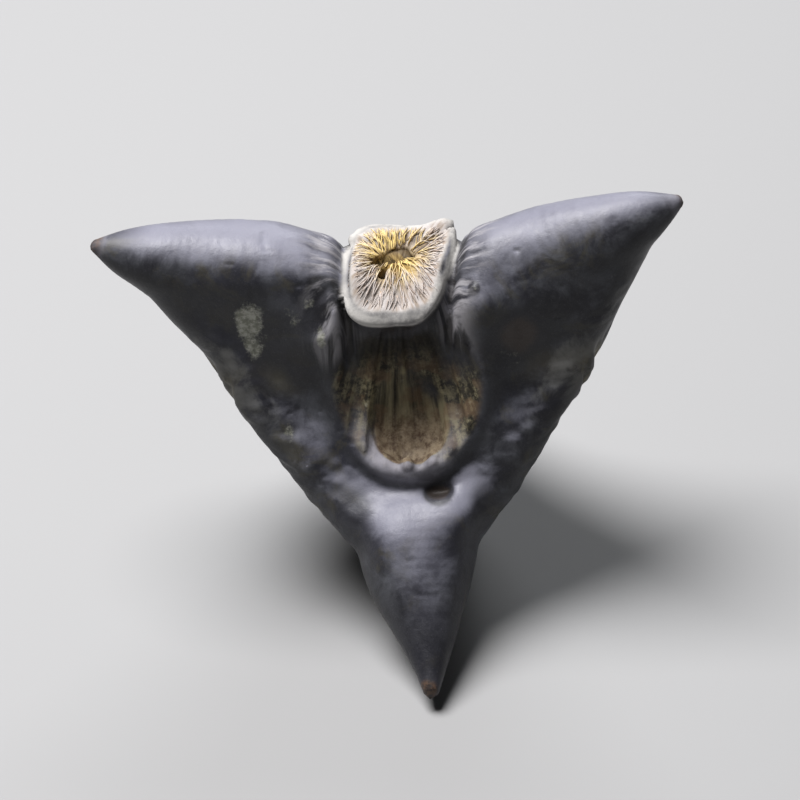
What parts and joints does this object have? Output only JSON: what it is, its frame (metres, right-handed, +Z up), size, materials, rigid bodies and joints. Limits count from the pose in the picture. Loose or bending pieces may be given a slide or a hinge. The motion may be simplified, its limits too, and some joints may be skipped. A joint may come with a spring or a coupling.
{
  "type": "water caltrop nut",
  "caption": "Hard dark woody nut with spreading horns, a square bristled crown, ribbed hollow faces and a round stem scar that it stands on.",
  "frame": {"origin": "middle of the nut's outline, on the surface that it stands on", "axes": "+X towards the right upper horn, +Y towards the back lower horn, +Z up, through the crown. The nut leans a little to -Y and -X, as it stands"},
  "size_m": [0.0431, 0.0415, 0.0324],
  "materials": {
    "nutshell": "hard woody shell, dusty matt blue-black, with pale wear on its ridges and olive-brown fibres in its hollows"
  },
  "bodies": {
    "root": {"nut": "nutshell"}
  },
  "joints": []
}
